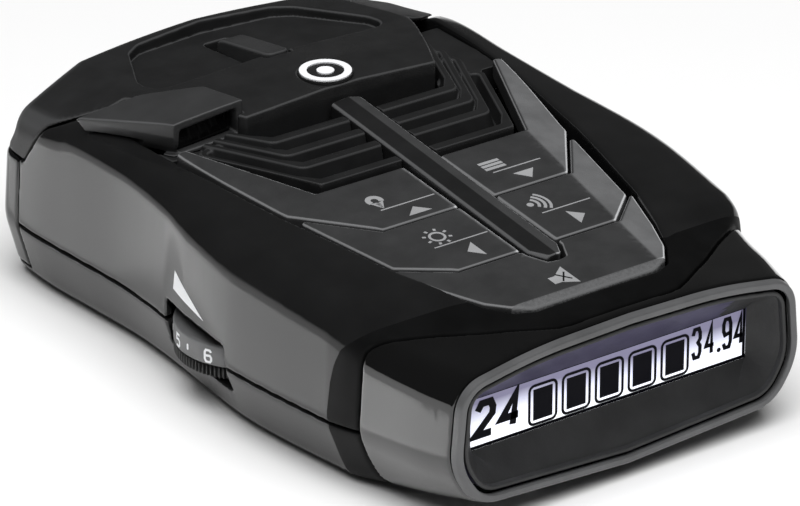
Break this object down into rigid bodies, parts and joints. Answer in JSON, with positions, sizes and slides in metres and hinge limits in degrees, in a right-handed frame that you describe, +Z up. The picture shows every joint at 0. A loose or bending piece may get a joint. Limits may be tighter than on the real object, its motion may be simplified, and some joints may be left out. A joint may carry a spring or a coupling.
{
  "type": "dashboard radar detector",
  "caption": "Wedge-shaped dashboard radar detector with a recessed backlit screen facing the driver, faceted top keys, louvred speaker, side volume thumbwheel and a windshield sensor window.",
  "frame": {"origin": "centre of the bounding box in plan, on the flat underside", "axes": "+X to the right seen from the screen, +Y from the screen towards the windshield, +Z up"},
  "size_m": [0.079, 0.114, 0.0377],
  "materials": {
    "case_gloss": "polished piano black",
    "cover_matte": "fine matte",
    "key_caps": "fine grained matte",
    "louvre_plastic": "satin",
    "bezel_satin": "satin grey",
    "dark_window": "dark infrared window, polished",
    "soft_black": "grained",
    "screen": "backlit panel",
    "board": "solder mask",
    "plated_metal": "plated",
    "label_stock": "printed foil",
    "cone_paper": "paper"
  },
  "bodies": {
    "case": {"audio_jack": "cover_matte", "bezel_ring": "bezel_satin", "case_screw_1": "plated_metal", "case_screw_2": "plated_metal", "case_screw_3": "plated_metal", "case_screw_4": "plated_metal", "centre_spine": "louvre_plastic", "display_board": "board", "display_shroud": "case_gloss", "display_visor": "soft_black", "emblem": "bezel_satin", "front_laser_sensor": "dark_window", "front_lens": "dark_window", "horn_antenna": "plated_metal", "key_board": "board", "keypad_membrane": "soft_black", "laser_hood": "cover_matte", "lcd_backlight": "screen", "lcd_panel": "screen", "lower_case": "case_gloss", "main_board": "board", "power_jack": "cover_matte", "rating_label": "label_stock", "rear_laser_sensor": "dark_window", "rear_laser_window": "dark_window", "rf_board": "board", "speaker_frame": "plated_metal", "speaker_grille": "louvre_plastic", "speaker_magnet": "plated_metal", "switch_left_far": "cover_matte", "switch_left_near": "cover_matte", "switch_mute": "cover_matte", "switch_right_far": "cover_matte", "switch_right_near": "cover_matte", "top_cover": "cover_matte", "upper_case": "case_gloss", "volume_pot": "cover_matte"},
    "volume_wheel_body": {"volume_wheel": "soft_black"},
    "key_right_far_body": {"key_right_far": "key_caps"},
    "key_right_near_body": {"key_right_near": "key_caps"},
    "key_left_far_body": {"key_left_far": "key_caps"},
    "key_left_near_body": {"key_left_near": "key_caps"},
    "key_mute_body": {"key_mute": "key_caps"},
    "bracket_release_body": {"bracket_release": "cover_matte"},
    "speaker_cone_body": {"speaker_cone": "cone_paper"}
  },
  "joints": [
    {"name": "volume_wheel_turn", "type": "hinge", "parent": "case", "child": "volume_wheel_body", "pos_m": [-0.0282, -0.0012, 0.0098], "axis": [0, 0, 1], "range_deg": [-150, 120]},
    {"name": "key_right_far_press", "type": "slide", "parent": "case", "child": "key_right_far_body", "axis": [0, 0.0867, -0.9962], "range_m": [0, 0.0006], "stiffness_N_per_m": 800, "springref_m": -0.0005},
    {"name": "key_right_near_press", "type": "slide", "parent": "case", "child": "key_right_near_body", "axis": [0, 0.0867, -0.9962], "range_m": [0, 0.0006], "stiffness_N_per_m": 800, "springref_m": -0.0005},
    {"name": "key_left_far_press", "type": "slide", "parent": "case", "child": "key_left_far_body", "axis": [0, 0.0867, -0.9962], "range_m": [0, 0.0006], "stiffness_N_per_m": 800, "springref_m": -0.0005},
    {"name": "key_left_near_press", "type": "slide", "parent": "case", "child": "key_left_near_body", "axis": [0, 0.0867, -0.9962], "range_m": [0, 0.0006], "stiffness_N_per_m": 800, "springref_m": -0.0005},
    {"name": "key_mute_press", "type": "slide", "parent": "case", "child": "key_mute_body", "axis": [0, 0.0867, -0.9962], "range_m": [0, 0.0006], "stiffness_N_per_m": 800, "springref_m": -0.0005},
    {"name": "bracket_release_slide", "type": "slide", "parent": "case", "child": "bracket_release_body", "axis": [0, 1, 0], "range_m": [0, 0.0026], "stiffness_N_per_m": 400, "springref_m": -0.001},
    {"name": "speaker_cone_throw", "type": "slide", "parent": "case", "child": "speaker_cone_body", "axis": [0, 0, 1], "range_m": [-0.0003, 0.0003], "stiffness_N_per_m": 500}
  ]
}
